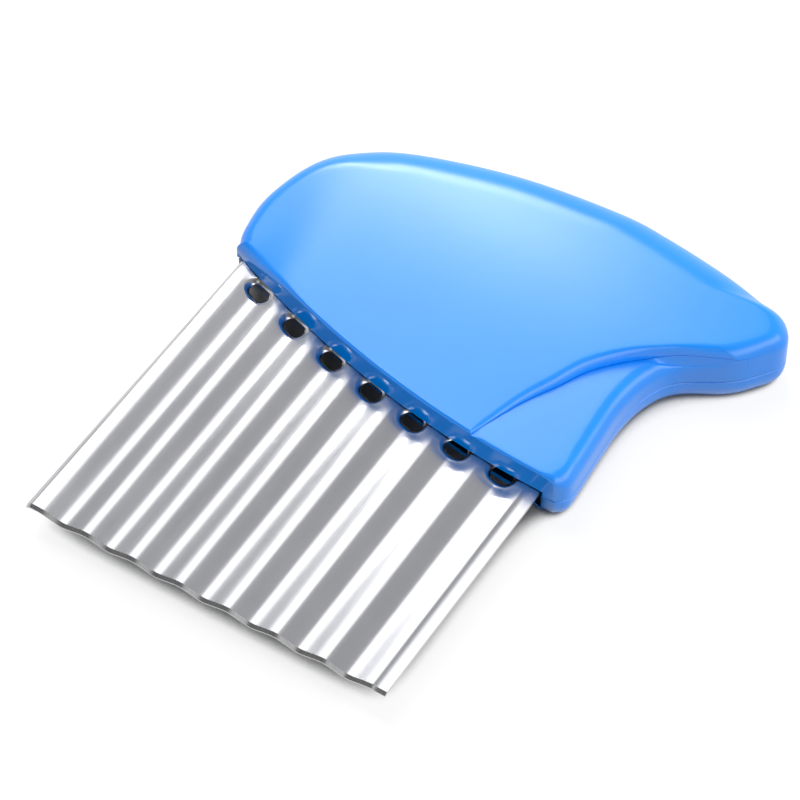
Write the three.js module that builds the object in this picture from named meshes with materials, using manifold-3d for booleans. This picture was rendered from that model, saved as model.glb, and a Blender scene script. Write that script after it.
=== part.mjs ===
// A hand-held crinkle cutter lying on its back: a corrugated steel blade clamped between two moulded
// handle shells. X runs along the cutting edge, Y from the edge to the handle and Z to the front.
import * as THREE from 'three';
import { mergeVertices } from 'three/addons/utils/BufferGeometryUtils.js';
import Module from 'manifold-3d';

const wasm = await Module();
wasm.setup();

// Driving dimensions of the blade, in millimetres
const BLADE_WIDTH = 80;
const SHEET = 0.7;
const WAVE_COUNT = 7;
const WAVE_DEPTH = 1;
const WAVE_CRISPNESS = 0.8;
const MARGIN_LEFT = 2.8;
const MARGIN_RIGHT = 3;
const MARGIN_DROP = 0.14;
const CREASE = 0.7;
const HEM = 0.9;
const HEM_DROP = 0.5;
const BEVEL_HEIGHT = 1.1;
const EDGE_LAND = 0.25;
const HOLE_LENGTH = 4.8;
const HOLE_HEIGHT = 2.9;
const HOLE_DROP_LEFT = 1.8;
const HOLE_DROP_RIGHT = 0;
const TANG_GRIP = 8.2;
const DOG_EAR = 5;

// Driving dimensions of the handle
const LIP_LOW = 54;
const LIP_RISE = 17.8;
const LEFT_OVERHANG = 0.2;
const RIGHT_OVERHANG = 3.2;
const CORNER = 2;
const LEFT_BULGE = 2.3;
const HANDLE_HEIGHT = 64.7;
const BEAK_REACH = 23.6;
const BEAK_DROP = 12.3;
const RIDGE_FROM_RIGHT = 16;
const LIP_DEPTH_LEFT = 7.4;
const LIP_DEPTH_RIGHT = 7;
const DOME_DEPTH = 9.4;
const DOME_RUN = 45;
const CROWN = 0.6;
const CROWN_MIDDLE = 45;
const CROWN_REACH = 55;
const WEB_DEPTH = 6.8;
const WEB_FALL = 0.6;
const REAR_DEPTH = 6;
const WALL = 2.2;

// Edge rounding: how far each edge runs in from the outline
const LIP_EDGE = 1.2;
const RIDGE_EDGE = 0.8;
const NOSE_EDGE = 4.5;
const RIM_EDGE = 6;
const WEB_EDGE = 3.2;
const REAR_RIM_IN = 3;
const REAR_RIM_UP = 5;
const STEP_RUN = 0.2;
const STEP_SLOPE = 0.2;
const LEAST_STEP = 0.1;
const WEB_BLEND = 3;
const PLAIN_WALL = 1;

// Fits between the pieces
const SEAM = 0.3;
const CLEARANCE = 0.3;
const SLOT_SIDE = 0.6;
const LIP_GAP = 0.25;
const MOUTH_DEPTH = 3.6;
const POST_DIAMETER = 4;
const POST_TOP = 3.2;
const BOSS_WALL = 2;
const RIB = 1.6;
const TONGUE = 1;
const TONGUE_HEIGHT = 1.4;

// Facets along each stretch of the handle's outline, and the rings of facets over its face
const LIP_STEPS = 36;
const WALL_STEPS = 26;
const NOSE_STEPS = 12;
const TOP_STEPS = 34;
const LEFT_STEPS = 16;
const RIDGE_STEPS = 200;
const EDGE_STEPS = 4;
const EDGE_SPREAD = 3;
const WAVE_STEPS = 12;
const ROUND_STEPS = 20;
const FACE_RINGS = [0.8, 0.55, 0.3];

// Limits that keep the lofted surface whole where a ray grazes the outline or the web runs out
const LEAST_SLANT = 0.4;
const LEAST_WEB = 0.25;
const WEB_EDGE_SHARE = 0.7;
const OVERCUT = 1;
const MERGE = 1e-3;

const WAVE_PITCH = (BLADE_WIDTH - MARGIN_LEFT - MARGIN_RIGHT) / WAVE_COUNT;
const SLOT_HALF = WAVE_DEPTH / 2 + SHEET / 2 + CLEARANCE;
const HANDLE_TOP = LIP_LOW + HANDLE_HEIGHT;
const LIP_LEFT = new THREE.Vector2(-LEFT_OVERHANG, LIP_LOW + LIP_RISE);
const LIP_RIGHT = new THREE.Vector2(BLADE_WIDTH + RIGHT_OVERHANG, LIP_LOW);
const NOSE = new THREE.Vector2(BLADE_WIDTH + BEAK_REACH, HANDLE_TOP - BEAK_DROP);
const HUB = new THREE.Vector2(lerp(LIP_LEFT.x, LIP_RIGHT.x, 0.54), lerp(LIP_LOW, HANDLE_TOP, 0.57));
const TANG_TOP = LIP_LEFT.y + TANG_GRIP;
const POST_Y = TANG_TOP - POST_DIAMETER - BOSS_WALL - CLEARANCE;

function lerp(from, to, share) {
  return THREE.MathUtils.lerp(from, to, share);
}

// Height of the lip's curved lower edge at x: a parabola that is level at its right end
function lipY(x) {
  const along = (LIP_RIGHT.x - x) / (LIP_RIGHT.x - LIP_LEFT.x);
  return LIP_LOW + LIP_RISE * along * along;
}

// X of each valley of the corrugation, which is also a line of holes
function valleys() {
  return Array.from({ length: WAVE_COUNT }, (_, i) => MARGIN_LEFT + WAVE_PITCH * (i + 0.5));
}

// The solid bounded by a stack of rings, closed at both ends by the given cap
function skin(rings, cap) {
  const count = rings[0].length;
  const points = rings.flat();
  const faces = [];
  for (let r = 0; r + 1 < rings.length; r += 1) {
    for (let i = 0; i < count; i += 1) {
      const next = (i + 1) % count;
      const [a, b] = [r * count + i, r * count + next];
      const [c, d] = [a + count, b + count];
      faces.push([a, b, d], [a, d, c]);
    }
  }
  cap(points, faces, 0, count, false);
  cap(points, faces, (rings.length - 1) * count, count, true);
  return solid(closedGeometry(points, faces));
}

// Merges points that coincide and leaves out the faces that collapse with them
function closedGeometry(points, faces) {
  const geometry = new THREE.BufferGeometry().setFromPoints(points).setIndex(faces.flat());
  const merged = mergeVertices(geometry, MERGE);
  const index = merged.getIndex().array;
  const kept = [];
  for (let i = 0; i < index.length; i += 3) {
    const [a, b, c] = index.slice(i, i + 3);
    if (a !== b && b !== c && c !== a) kept.push(a, b, c);
  }
  return merged.setIndex(kept);
}

// Cap of a ring that can be seen whole from the hub
function fanCap(points, faces, first, count, last) {
  const ring = points.slice(first, first + count);
  const level = ring.reduce((sum, point) => sum + point.z, 0) / count;
  const hub = points.push(new THREE.Vector3(HUB.x, HUB.y, level)) - 1;
  for (let i = 0; i < count; i += 1) {
    const [a, b] = [first + i, first + ((i + 1) % count)];
    faces.push(last ? [a, b, hub] : [b, a, hub]);
  }
}

// Cap of a thin band whose first half runs out and whose second half runs back
function bandCap(points, faces, first, count, last) {
  for (let i = 0; i + 1 < count / 2; i += 1) {
    const [a, b] = [first + i, first + i + 1];
    const [c, d] = [first + count - 1 - i, first + count - 2 - i];
    faces.push(...(last ? [[a, b, d], [a, d, c]] : [[b, a, d], [d, a, c]]));
  }
}

function solid(geometry) {
  const bare = geometry.clone();
  bare.deleteAttribute('normal');
  bare.deleteAttribute('uv');
  const merged = mergeVertices(bare, MERGE);
  return new wasm.Manifold(new wasm.Mesh({
    numProp: 3,
    vertProperties: new Float32Array(merged.getAttribute('position').array),
    triVerts: new Uint32Array(merged.getIndex().array),
  }));
}

function mesh(name, body, material) {
  const { vertProperties, triVerts } = body.getMesh();
  const geometry = new THREE.BufferGeometry();
  geometry.setAttribute('position', new THREE.BufferAttribute(vertProperties, 3));
  geometry.setIndex(new THREE.BufferAttribute(triVerts, 1));
  geometry.computeVertexNormals();
  const piece = new THREE.Mesh(geometry, material);
  piece.name = name;
  return piece;
}

function box(x0, x1, y0, y1, z0, z1) {
  const geometry = new THREE.BoxGeometry(x1 - x0, y1 - y0, z1 - z0);
  return solid(geometry.translate((x0 + x1) / 2, (y0 + y1) / 2, (z0 + z1) / 2));
}

function round(diameter, x, y, z0, z1) {
  const geometry = new THREE.CylinderGeometry(diameter / 2, diameter / 2, z1 - z0, ROUND_STEPS);
  return solid(geometry.rotateX(Math.PI / 2).translate(x, y, (z0 + z1) / 2));
}

// A flat shape that cuts right through the blade
function punch(shape) {
  const depth = 4 * SLOT_HALF;
  const settings = { depth, bevelEnabled: false, curveSegments: ROUND_STEPS / 2 };
  return new THREE.ExtrudeGeometry(shape, settings).translate(0, 0, -depth / 2);
}

// Middle of the corrugated sheet: straight flanks between rounded crests and valleys, creased flat margins at
// both ends and a left edge that is turned down
function waveZ(x) {
  const past = Math.max(MARGIN_LEFT - x, x - (BLADE_WIDTH - MARGIN_RIGHT));
  const hem = HEM_DROP * Math.max(1 - x / HEM, 0);
  if (past > 0) return WAVE_DEPTH / 2 - MARGIN_DROP * Math.min(past / CREASE, 1) - hem;
  const turn = (2 * Math.PI * (x - MARGIN_LEFT)) / WAVE_PITCH;
  const share = Math.asin(WAVE_CRISPNESS * Math.cos(turn)) / Math.asin(WAVE_CRISPNESS);
  return (WAVE_DEPTH / 2) * share;
}

// X of each bend in a section of the sheet
function bends() {
  const steps = WAVE_COUNT * WAVE_STEPS;
  const waves = Array.from({ length: steps + 1 }, (_, i) => MARGIN_LEFT + (i * WAVE_PITCH) / WAVE_STEPS);
  const right = BLADE_WIDTH - MARGIN_RIGHT + CREASE;
  return [0, HEM, MARGIN_LEFT - CREASE, ...waves, right, BLADE_WIDTH];
}

// One section of the sheet at y, with the front ground back by the given amount
function sheetSection(y, ground) {
  const xs = bends();
  const back = xs.map((x) => new THREE.Vector3(x, y, waveZ(x) - SHEET / 2));
  const front = xs.map((x) => new THREE.Vector3(x, y, waveZ(x) + SHEET / 2 - ground));
  return [...front, ...back.reverse()];
}

// A slanting cut across a top corner of the tang. Inwards is 1 at the left corner and -1 at the right.
function dogEar(x, inwards) {
  const top = TANG_TOP + OVERCUT;
  const side = x - inwards * OVERCUT;
  const points = [
    new THREE.Vector2(side, top),
    new THREE.Vector2(side, top - DOG_EAR - 2 * OVERCUT),
    new THREE.Vector2(side + inwards * (DOG_EAR + 2 * OVERCUT), top),
  ];
  return solid(punch(new THREE.Shape(points)));
}

// A hole with round ends just below the lip, lying along it
function oblongHole(x) {
  const half = (HOLE_LENGTH - HOLE_HEIGHT) / 2;
  const shape = new THREE.Shape();
  shape.absarc(half, 0, HOLE_HEIGHT / 2, -Math.PI / 2, Math.PI / 2);
  shape.absarc(-half, 0, HOLE_HEIGHT / 2, Math.PI / 2, Math.PI * 1.5);
  const slope = Math.atan2(lipY(x + HOLE_LENGTH / 2) - lipY(x - HOLE_LENGTH / 2), HOLE_LENGTH);
  const drop = lerp(HOLE_DROP_LEFT, HOLE_DROP_RIGHT, x / BLADE_WIDTH);
  return solid(punch(shape).rotateZ(slope).translate(x, lipY(x) - drop, 0));
}

function makeBlade() {
  const rings = [
    sheetSection(0, SHEET - EDGE_LAND),
    sheetSection(BEVEL_HEIGHT, 0),
    sheetSection(TANG_TOP, 0),
  ];
  let blade = skin(rings, bandCap);
  for (const x of valleys()) {
    blade = blade.subtract(oblongHole(x));
  }
  for (const x of postPlaces()) {
    blade = blade.subtract(round(POST_DIAMETER + 2 * CLEARANCE, x, POST_Y, -2 * SLOT_HALF, 2 * SLOT_HALF));
  }
  return blade.subtract(dogEar(0, 1)).subtract(dogEar(BLADE_WIDTH, -1));
}

// Every second valley carries a post of the handle through the tang
function postPlaces() {
  return valleys().filter((_, i) => i % 2 === 1);
}

// Points of the handle's outline: shares of the way up the right wall, of the way up the left end and of
// the way across the top
const upWall = (x, share) => new THREE.Vector2(x, lerp(LIP_LOW, NOSE.y, share));
const upLeft = (x, share) => new THREE.Vector2(x, lerp(LIP_LEFT.y, HANDLE_TOP, share));
const overTop = (share, drop) => new THREE.Vector2(lerp(0, BLADE_WIDTH, share), HANDLE_TOP - drop);

// Stretches of the handle's outline, counter-clockwise from the left end of the lip. Each has the points
// that it runs through, its number of facets and the width of the front edge's rounding along it.
function outlineStretches() {
  const side = LIP_RIGHT.x + CORNER;
  const middle = new THREE.Vector2((LIP_LEFT.x + LIP_RIGHT.x) / 2, LIP_LOW);
  const lip = new THREE.QuadraticBezierCurve(LIP_LEFT, middle, LIP_RIGHT);
  const underNose = upWall(NOSE.x - 2.4, 0.91);
  const wall = new THREE.SplineCurve([
    LIP_RIGHT,
    new THREE.Vector2(side, LIP_LOW + CORNER),
    upWall(side, 0.125),
    upWall(side - 0.6, 0.285),
    upWall(side - 1, 0.45),
    upWall(side + 0.2, 0.6),
    upWall(side + 3.5, 0.71),
    upWall(NOSE.x - 6.4, 0.82),
    underNose,
  ]);
  const overNose = new THREE.Vector2(NOSE.x - 8.1, lerp(NOSE.y, HANDLE_TOP, 0.585));
  const brow = new THREE.Vector2(NOSE.x - 2.9, lerp(NOSE.y, HANDLE_TOP, 0.405));
  const tip = new THREE.SplineCurve([underNose, NOSE, brow, overNose]);
  const shoulder = upLeft(8.5, 0.72);
  const top = new THREE.SplineCurve([
    overNose,
    overTop(1.075, 2.6),
    overTop(0.89, 0.5),
    overTop(0.75, 0),
    overTop(0.49, 2.3),
    overTop(0.245, 7.6),
    shoulder,
  ]);
  const left = new THREE.SplineCurve([
    shoulder,
    upLeft(1.5, 0.563),
    upLeft(-LEFT_BULGE, 0.292),
    upLeft(-0.8 * LEFT_BULGE, 0.096),
    upLeft(LIP_LEFT.x - 0.4, 0.017),
    LIP_LEFT,
  ]);
  return [
    { curve: lip, steps: LIP_STEPS, edge: LIP_EDGE, webEdge: LIP_EDGE, rearEdge: LIP_EDGE },
    { curve: wall, steps: WALL_STEPS, edge: RIDGE_EDGE, webEdge: WEB_EDGE, rearEdge: REAR_RIM_IN },
    { curve: tip, steps: NOSE_STEPS, edge: NOSE_EDGE, webEdge: WEB_EDGE, rearEdge: REAR_RIM_IN },
    { curve: top, steps: TOP_STEPS, edge: RIM_EDGE, webEdge: WEB_EDGE, rearEdge: REAR_RIM_IN },
    { curve: left, steps: LEFT_STEPS, edge: RIM_EDGE, webEdge: WEB_EDGE, rearEdge: REAR_RIM_IN },
  ];
}

// The ridge that parts the dome from the lower web, from the lip to the underside of the beak
function ridgeCurve() {
  const start = BLADE_WIDTH - RIDGE_FROM_RIGHT;
  const below = start - OVERCUT;
  const side = LIP_RIGHT.x + CORNER;
  return new THREE.SplineCurve([
    new THREE.Vector2(below, lipY(below) - OVERCUT),
    new THREE.Vector2(start, lipY(start)),
    upWall(side - 16.5, 0.214),
    upWall(side - 12.5, 0.37),
    upWall(side - 9.6, 0.515),
    upWall(side - 4, 0.637),
    upWall(side + 2.6, 0.729),
    upWall(NOSE.x - 6.4, 0.824),
  ]);
}

// How far a ray from the hub runs to a line of points, or null where it misses
function reachTo(line, ray) {
  for (let i = 0; i + 1 < line.length; i += 1) {
    const a = line[i].clone().sub(HUB);
    const step = line[i + 1].clone().sub(line[i]);
    const turn = ray.cross(step);
    const along = ray.cross(a) / -turn;
    if (turn !== 0 && along >= 0 && along <= 1) {
      const reach = a.add(step.multiplyScalar(along)).dot(ray);
      if (reach > 0) return reach;
    }
  }
  return null;
}

// Averages a value over its neighbours round the outline, so that one edge runs softly into the next
function softened(values) {
  const count = values.length;
  const window = Array.from({ length: 2 * EDGE_SPREAD + 1 }, (_, i) => i - EDGE_SPREAD);
  const near = (i) => window.map((k) => values[(i + k + count) % count]);
  return values.map((_, i) => near(i).reduce((sum, v) => sum + v, 0) / window.length);
}

// Rays from the hub to the outline: each one's direction, its reach to the outline and to the ridge, and
// the rounding of the edges that it crosses
function handleRays() {
  const ridge = ridgeCurve().getSpacedPoints(RIDGE_STEPS);
  const samples = outlineStretches().flatMap(({ curve, steps, ...edges }) =>
    curve.getSpacedPoints(steps).slice(0, steps).map((point) => ({ point, ...edges })));
  const edges = softened(samples.map((sample) => sample.edge));
  const webEdges = softened(samples.map((sample) => sample.webEdge));
  const rearEdges = softened(samples.map((sample) => sample.rearEdge));
  const count = samples.length;
  return samples.map(({ point }, i) => {
    const ray = point.clone().sub(HUB);
    const reach = ray.length();
    ray.normalize();
    const tangent = samples[(i + 1) % count].point.clone().sub(samples[(i + count - 1) % count].point);
    const normal = new THREE.Vector2(tangent.y, -tangent.x).normalize();
    const slant = Math.max(LEAST_SLANT, ray.dot(normal));
    const found = reachTo(ridge, ray);
    const onRidge = found === null || reach - found < LEAST_WEB ? reach : found;
    return {
      ray, reach, slant, ridge: onRidge, edge: edges[i], webEdge: webEdges[i], rearEdge: rearEdges[i],
    };
  });
}

// Depth of the front face over the plan: low along the lip, and rising to a broad dome that falls off
// towards both ends
function domeZ(x, y) {
  const { clamp } = THREE.MathUtils;
  const lip = lerp(LIP_DEPTH_LEFT, LIP_DEPTH_RIGHT, clamp(x / BLADE_WIDTH, 0, 1));
  const rise = clamp((y - lipY(Math.min(x, LIP_RIGHT.x))) / DOME_RUN, 0, 1);
  const crown = CROWN * ((x - CROWN_MIDDLE) / CROWN_REACH) ** 2;
  return lerp(lip, DOME_DEPTH, Math.sin((rise * Math.PI) / 2)) - crown * rise;
}

// Depth of the web at y: flush with the lip at its foot and a little lower under the beak
function webZ(y) {
  return WEB_DEPTH - WEB_FALL * THREE.MathUtils.smoothstep(y, LIP_LOW, NOSE.y);
}

function spot(ray, reach, z) {
  return new THREE.Vector3(HUB.x + ray.x * reach, HUB.y + ray.y * reach, z);
}

function onDome(ray, reach, below) {
  const point = spot(ray, reach, 0);
  point.z = domeZ(point.x, point.y) - below;
  return point;
}

// A quarter round: its steps inwards and upwards as shares of its width and height
function quarterRound() {
  const turns = Array.from({ length: EDGE_STEPS + 1 }, (_, i) => (i / EDGE_STEPS) * (Math.PI / 2));
  return turns.map((turn) => ({ inwards: 1 - Math.cos(turn), below: 1 - Math.sin(turn) }));
}

// Points up one ray of the front half, from the parting face over the web's edge and the ridge to the hub.
// Inset moves the whole surface inwards, for the hollow.
function frontRay({ ray, reach, slant, ridge, edge, webEdge }, inset, base) {
  const outer = reach - inset / slant;
  const inner = Math.min(outer, ridge - inset);
  const web = outer - inner;
  const blend = THREE.MathUtils.smoothstep(web, 0, WEB_BLEND);
  const foot = spot(ray, inner, 0);
  const top = domeZ(foot.x, foot.y) - inset;
  const step = Math.max(top - webZ(foot.y) + inset, LEAST_STEP);
  const edgeUp = Math.min(lerp(edge, step, blend), top - base - PLAIN_WALL);
  const edgeIn = lerp(edge / slant, STEP_RUN + STEP_SLOPE * step, blend);
  const shoulder = top - edgeUp;
  const webIn = Math.min(webEdge / slant, WEB_EDGE_SHARE * web) * blend;
  const webUp = Math.min(webEdge, shoulder - base - PLAIN_WALL);
  const edgePoints = quarterRound().map(({ inwards, below }) =>
    spot(ray, outer - webIn * inwards, shoulder - webUp * below));
  const ridgePoints = quarterRound().map(({ inwards, below }) =>
    onDome(ray, inner - edgeIn * inwards, inset + edgeUp * below));
  const face = FACE_RINGS.map((share) => onDome(ray, (inner - edgeIn) * share, inset));
  return [spot(ray, outer, base), ...edgePoints, ...ridgePoints, ...face];
}

// Points down one ray of the rear half, from the parting face round the rim to the flat back
function rearRay({ ray, reach, slant, rearEdge }, inset, base) {
  const outer = reach - inset / slant;
  const back = -REAR_DEPTH + inset;
  const rimShare = (rearEdge - LIP_EDGE) / (REAR_RIM_IN - LIP_EDGE);
  const up = Math.min(lerp(LIP_EDGE, REAR_RIM_UP, rimShare), base - back - PLAIN_WALL);
  const rim = quarterRound().map(({ inwards, below }) =>
    spot(ray, outer - (rearEdge / slant) * inwards, back + up * below));
  return [spot(ray, outer, base), ...rim];
}

// Turns points up each ray into rings round the handle, and closes them into a solid
function moulding(rays, climb, inset, base) {
  const columns = rays.map((ray) => climb(ray, inset, base));
  const rings = columns[0].map((_, level) => columns.map((column) => column[level]));
  const down = rings.at(-1)[0].z < base;
  return skin(down ? rings.reverse() : rings, fanCap);
}

const rays = handleRays();
const coarse = rays.filter((_, i) => i % 2 === 0);

// The space that the blade's tang takes up between the shells
function slot() {
  return box(-SLOT_SIDE, BLADE_WIDTH + SLOT_SIDE, 0, TANG_TOP + CLEARANCE, -SLOT_HALF, SLOT_HALF);
}

// The space over the blade at y, with sides that reach past the blade and a top that follows its waves
function wavySection(y) {
  const xs = bends();
  xs[0] = -SLOT_SIDE;
  xs[xs.length - 1] = BLADE_WIDTH + SLOT_SIDE;
  const top = xs.map((x) => new THREE.Vector3(x, y, waveZ(Math.max(x, HEM)) + SHEET / 2 + LIP_GAP));
  const bottom = xs.map((x) => new THREE.Vector3(x, y, -SLOT_HALF));
  return [...top, ...bottom.reverse()];
}

// The slot of the front shell, whose lip follows the waves
function wavySlot() {
  return skin([wavySection(0), wavySection(TANG_TOP + CLEARANCE)], bandCap);
}

// The open mouth under the blade, cut through the rear shell's lip nearly down to its back wall
function mouth() {
  return box(-SLOT_SIDE, BLADE_WIDTH + SLOT_SIDE, 0, LIP_LEFT.y + WALL, -MOUTH_DEPTH, 0);
}

// Bars across the inside of a shell that bear on the tang, trimmed to the shell
function clampBars(body, z0, z1) {
  const posts = postPlaces();
  const [first, last] = [posts[0], posts.at(-1)];
  const bar = box(first, last, POST_Y - RIB / 2, POST_Y + RIB / 2, z0, z1);
  const stop = box(first, last, TANG_TOP + CLEARANCE, TANG_TOP + CLEARANCE + RIB, z0, z1);
  return bar.add(stop).intersect(body);
}

function makeFrontShell() {
  const base = SEAM / 2;
  const core = moulding(coarse, frontRay, WALL / 2, base);
  const bore = POST_DIAMETER + 2 * CLEARANCE;
  const boss = bore + 2 * BOSS_WALL;
  let shell = moulding(rays, frontRay, 0, base);
  shell = shell.subtract(moulding(coarse, frontRay, WALL, base - OVERCUT));
  shell = shell.add(clampBars(core, SLOT_HALF, DOME_DEPTH));
  for (const x of postPlaces()) {
    shell = shell.add(round(boss, x, POST_Y, SLOT_HALF, DOME_DEPTH).intersect(core));
    shell = shell.subtract(round(bore, x, POST_Y, 0, POST_TOP + CLEARANCE));
  }
  return shell.subtract(wavySlot());
}

// A rim inside the rear shell that locates the front shell above the blade
function tongue() {
  const outer = WALL + CLEARANCE;
  const inner = outer + TONGUE;
  const top = -SEAM / 2;
  const deep = top - WALL;
  const within = moulding(coarse, frontRay, inner, deep - OVERCUT);
  const band = moulding(coarse, frontRay, outer, deep).subtract(within);
  const hollow = moulding(coarse, rearRay, inner, top + OVERCUT);
  const root = moulding(coarse, rearRay, WALL / 2, top).subtract(hollow);
  const above = TANG_TOP + CLEARANCE + RIB;
  const strip = box(-NOSE.x, 2 * NOSE.x, above, HANDLE_TOP, deep, TONGUE_HEIGHT);
  const shelf = box(-NOSE.x, 2 * NOSE.x, above, HANDLE_TOP, deep, top);
  return band.intersect(strip).add(root.intersect(shelf));
}

function makeRearShell() {
  const base = -SEAM / 2;
  const core = moulding(coarse, rearRay, WALL / 2, base);
  const boss = POST_DIAMETER + 2 * BOSS_WALL;
  const foot = -REAR_DEPTH + WALL / 2;
  let shell = moulding(rays, rearRay, 0, base);
  shell = shell.subtract(moulding(coarse, rearRay, WALL, base + OVERCUT));
  shell = shell.subtract(mouth());
  shell = shell.add(clampBars(core, -REAR_DEPTH, -SLOT_HALF));
  shell = shell.add(tongue());
  shell = shell.subtract(slot());
  for (const x of postPlaces()) {
    shell = shell.add(round(boss, x, POST_Y, foot, -SLOT_HALF));
    shell = shell.add(round(POST_DIAMETER, x, POST_Y, foot, POST_TOP));
  }
  return shell;
}

const plastic = new THREE.MeshStandardMaterial({ color: 0x3f9bff, roughness: 0.32, metalness: 0 });
const steel = new THREE.MeshStandardMaterial({ color: 0xc9ccd2, roughness: 0.2, metalness: 1 });

const cutter = new THREE.Group();
cutter.add(
  mesh('blade', makeBlade(), steel),
  mesh('front_shell', makeFrontShell(), plastic),
  mesh('rear_shell', makeRearShell(), plastic),
);

// The origin is under the middle of the cutter, on the plane of its flat back
const extent = new THREE.Box3().setFromObject(cutter);
const centre = extent.getCenter(new THREE.Vector3());
cutter.position.set(-centre.x, -centre.y, -extent.min.z);

export default cutter;
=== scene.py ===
import math
from types import SimpleNamespace

import bmesh
import bpy
import numpy as np
from mathutils import Matrix, Vector


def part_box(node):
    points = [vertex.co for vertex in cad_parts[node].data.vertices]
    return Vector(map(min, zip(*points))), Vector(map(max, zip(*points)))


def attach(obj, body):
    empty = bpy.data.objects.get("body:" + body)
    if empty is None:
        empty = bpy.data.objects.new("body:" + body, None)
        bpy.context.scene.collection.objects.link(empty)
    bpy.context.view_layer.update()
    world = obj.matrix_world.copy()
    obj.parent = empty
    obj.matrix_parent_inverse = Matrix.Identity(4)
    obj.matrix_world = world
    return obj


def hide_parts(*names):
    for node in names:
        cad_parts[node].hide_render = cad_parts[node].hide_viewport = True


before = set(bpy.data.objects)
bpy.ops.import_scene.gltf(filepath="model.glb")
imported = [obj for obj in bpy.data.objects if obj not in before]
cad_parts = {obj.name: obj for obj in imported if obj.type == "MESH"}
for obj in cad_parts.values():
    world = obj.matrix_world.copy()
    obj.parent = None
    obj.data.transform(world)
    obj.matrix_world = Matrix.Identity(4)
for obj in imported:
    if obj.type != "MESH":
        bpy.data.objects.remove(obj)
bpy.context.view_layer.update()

# The tool's own frame, in millimetres: the origin is the blade's lower left corner on the parting plane,
# X runs along the cutting edge, Y to the handle and Z to the front
MM = 0.001
blade_low, blade_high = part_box("blade")
TOOL_ORIGIN = np.array([blade_low.x, blade_low.y, (blade_low.z + blade_high.z) / 2])
BLADE_WIDTH = (blade_high.x - blade_low.x) / MM
TANG_TOP = (blade_high.y - blade_low.y) / MM
REAR_DEPTH = TOOL_ORIGIN[2] / MM

# Blade: the sheet, its waves and its flat margins
SHEET = 0.7
WAVE_COUNT = 7
WAVE_DEPTH = (blade_high.z - blade_low.z) / MM - SHEET
WAVE_CRISPNESS = 0.8
MARGIN_LEFT = 2.8
MARGIN_RIGHT = 3
MARGIN_DROP = 0.14
WAVE_PITCH = (BLADE_WIDTH - MARGIN_LEFT - MARGIN_RIGHT) / WAVE_COUNT
CREASE = 0.7
LEFT_TAPER = 0.9

# Blade: the turned down hem on the left, the ground cutting edge and the way into the handle
HEM = 0.9
HEM_DROP = 0.5
HEM_ROUND = 0.2
HEM_SHADE = 1.5 * HEM_ROUND
BEVEL_HEIGHT = 0.7
BEVEL_SHADE = 0.75 * BEVEL_HEIGHT
EDGE_LAND = 0.25
ENTRY_RUN = 3.4
ENTRY_RISE = 0.5
ENTRY_WAVE = 0.45

# Blade: countersunk holes below the lip
HOLE_LENGTH = 4.8
HOLE_HEIGHT = 2.9
HOLE_DROP_LEFT = 1.8
HOLE_DROP_RIGHT = 0
COUNTERSINK_FLAT = math.radians(8)
COUNTERSINK_STEEP = math.radians(40)
COUNTERSINK_WIDTH = 1.15

# Mesh of the blade
HOLE_PATCH = 5
WAVE_STEPS = 32
HEM_STEPS = 4
ROW_STEP = 1
PATCH_RINGS = 14
COUNTERSINK_RINGS = 10
BLADE_SHARP = math.radians(18)
PLAN_DIGITS = 5

# Handle: plan
LIP_LOW = 54
LIP_RISE = 17.8
RIGHT_OVERHANG = 3.2
CORNER = 2
LEFT_BULGE = 2.3
HANDLE_TOP = 118.7
BEAK_REACH = 23.6
BEAK_DROP = 12.3
RIDGE_FROM_RIGHT = 16
LIP_LEFT = np.array([0, LIP_LOW + LIP_RISE])
LIP_RIGHT = np.array([BLADE_WIDTH + RIGHT_OVERHANG, LIP_LOW])
NOSE = np.array([BLADE_WIDTH + BEAK_REACH, HANDLE_TOP - BEAK_DROP])
HUB = np.array([44.5, 90.9])

# Handle: heights of the palm face and of the lower web
LIP_DEPTH_LEFT = 7.4
LIP_DEPTH_RIGHT = 7
LIP_DIP = 2.5
LIP_DIP_RUN = 18
DOME_DEPTH = 9.4
DOME_RUN = 45
CROWN = 0.6
CROWN_MIDDLE = 45
CROWN_REACH = 55
WEB_DEPTH = 6.8
WEB_FALL = 0.6
WEB_BLEND = 4

# Handle: sizes of the rounded edges, and how far along the outline they change
LIP_EDGE = 0.7
LIP_EDGE_LEFT = 2.4
LIP_EDGE_RUN = 22
SIDE_EDGE_RUN = 34
NOSE_RUN = 8
NOSE_FOOT = 3
NOSE_EDGE = 4.5
RIM_EDGE = 6
RIM_SPREAD = 1.55
WEB_EDGE = 3.2
REAR_RIM_IN = 3
REAR_RIM_UP = 5

# Handle: the ridge above the web, with the step down from it and the fine crevice at its foot
RIDGE_EDGE = 0.6
RIDGE_UP = 0.6
RIDGE_IN = 2.4
RIDGE_START = math.radians(50)
RIDGE_PAST_NOSE = 2
RIDGE_FADE = 16
STEP_RUN = 1.6
STEP_SLOPE = 0.2
LEAST_STEP = 0.1
BRACE = 2.5
CREVICE = 0.2
CREVICE_UNDER_RIDGE = 2
CREVICE_UNDER_STEP = 0.5
CREVICE_DEPTH = 1.2

# Handle: walls, the seam between the shells and the slot for the blade
WALL = 2.2
PLAIN_WALL = 1
HOLLOW_MIDDLE = 0.1
HOLLOW_FACE = 0.8
SEAM_HALF = 0.06
SEAM_ROUND = 0.14
LIP_GAP = 0.12
SLOT_TOP = ENTRY_RISE + ENTRY_WAVE * WAVE_DEPTH / 2 + SHEET / 2 + LIP_GAP
SLOT_SIDE = 0.6
SLOT_END = 0.02
REAR_SLOT = 4.6
REAR_SETBACK = 3
SETBACK_SHARPNESS = 3

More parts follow.
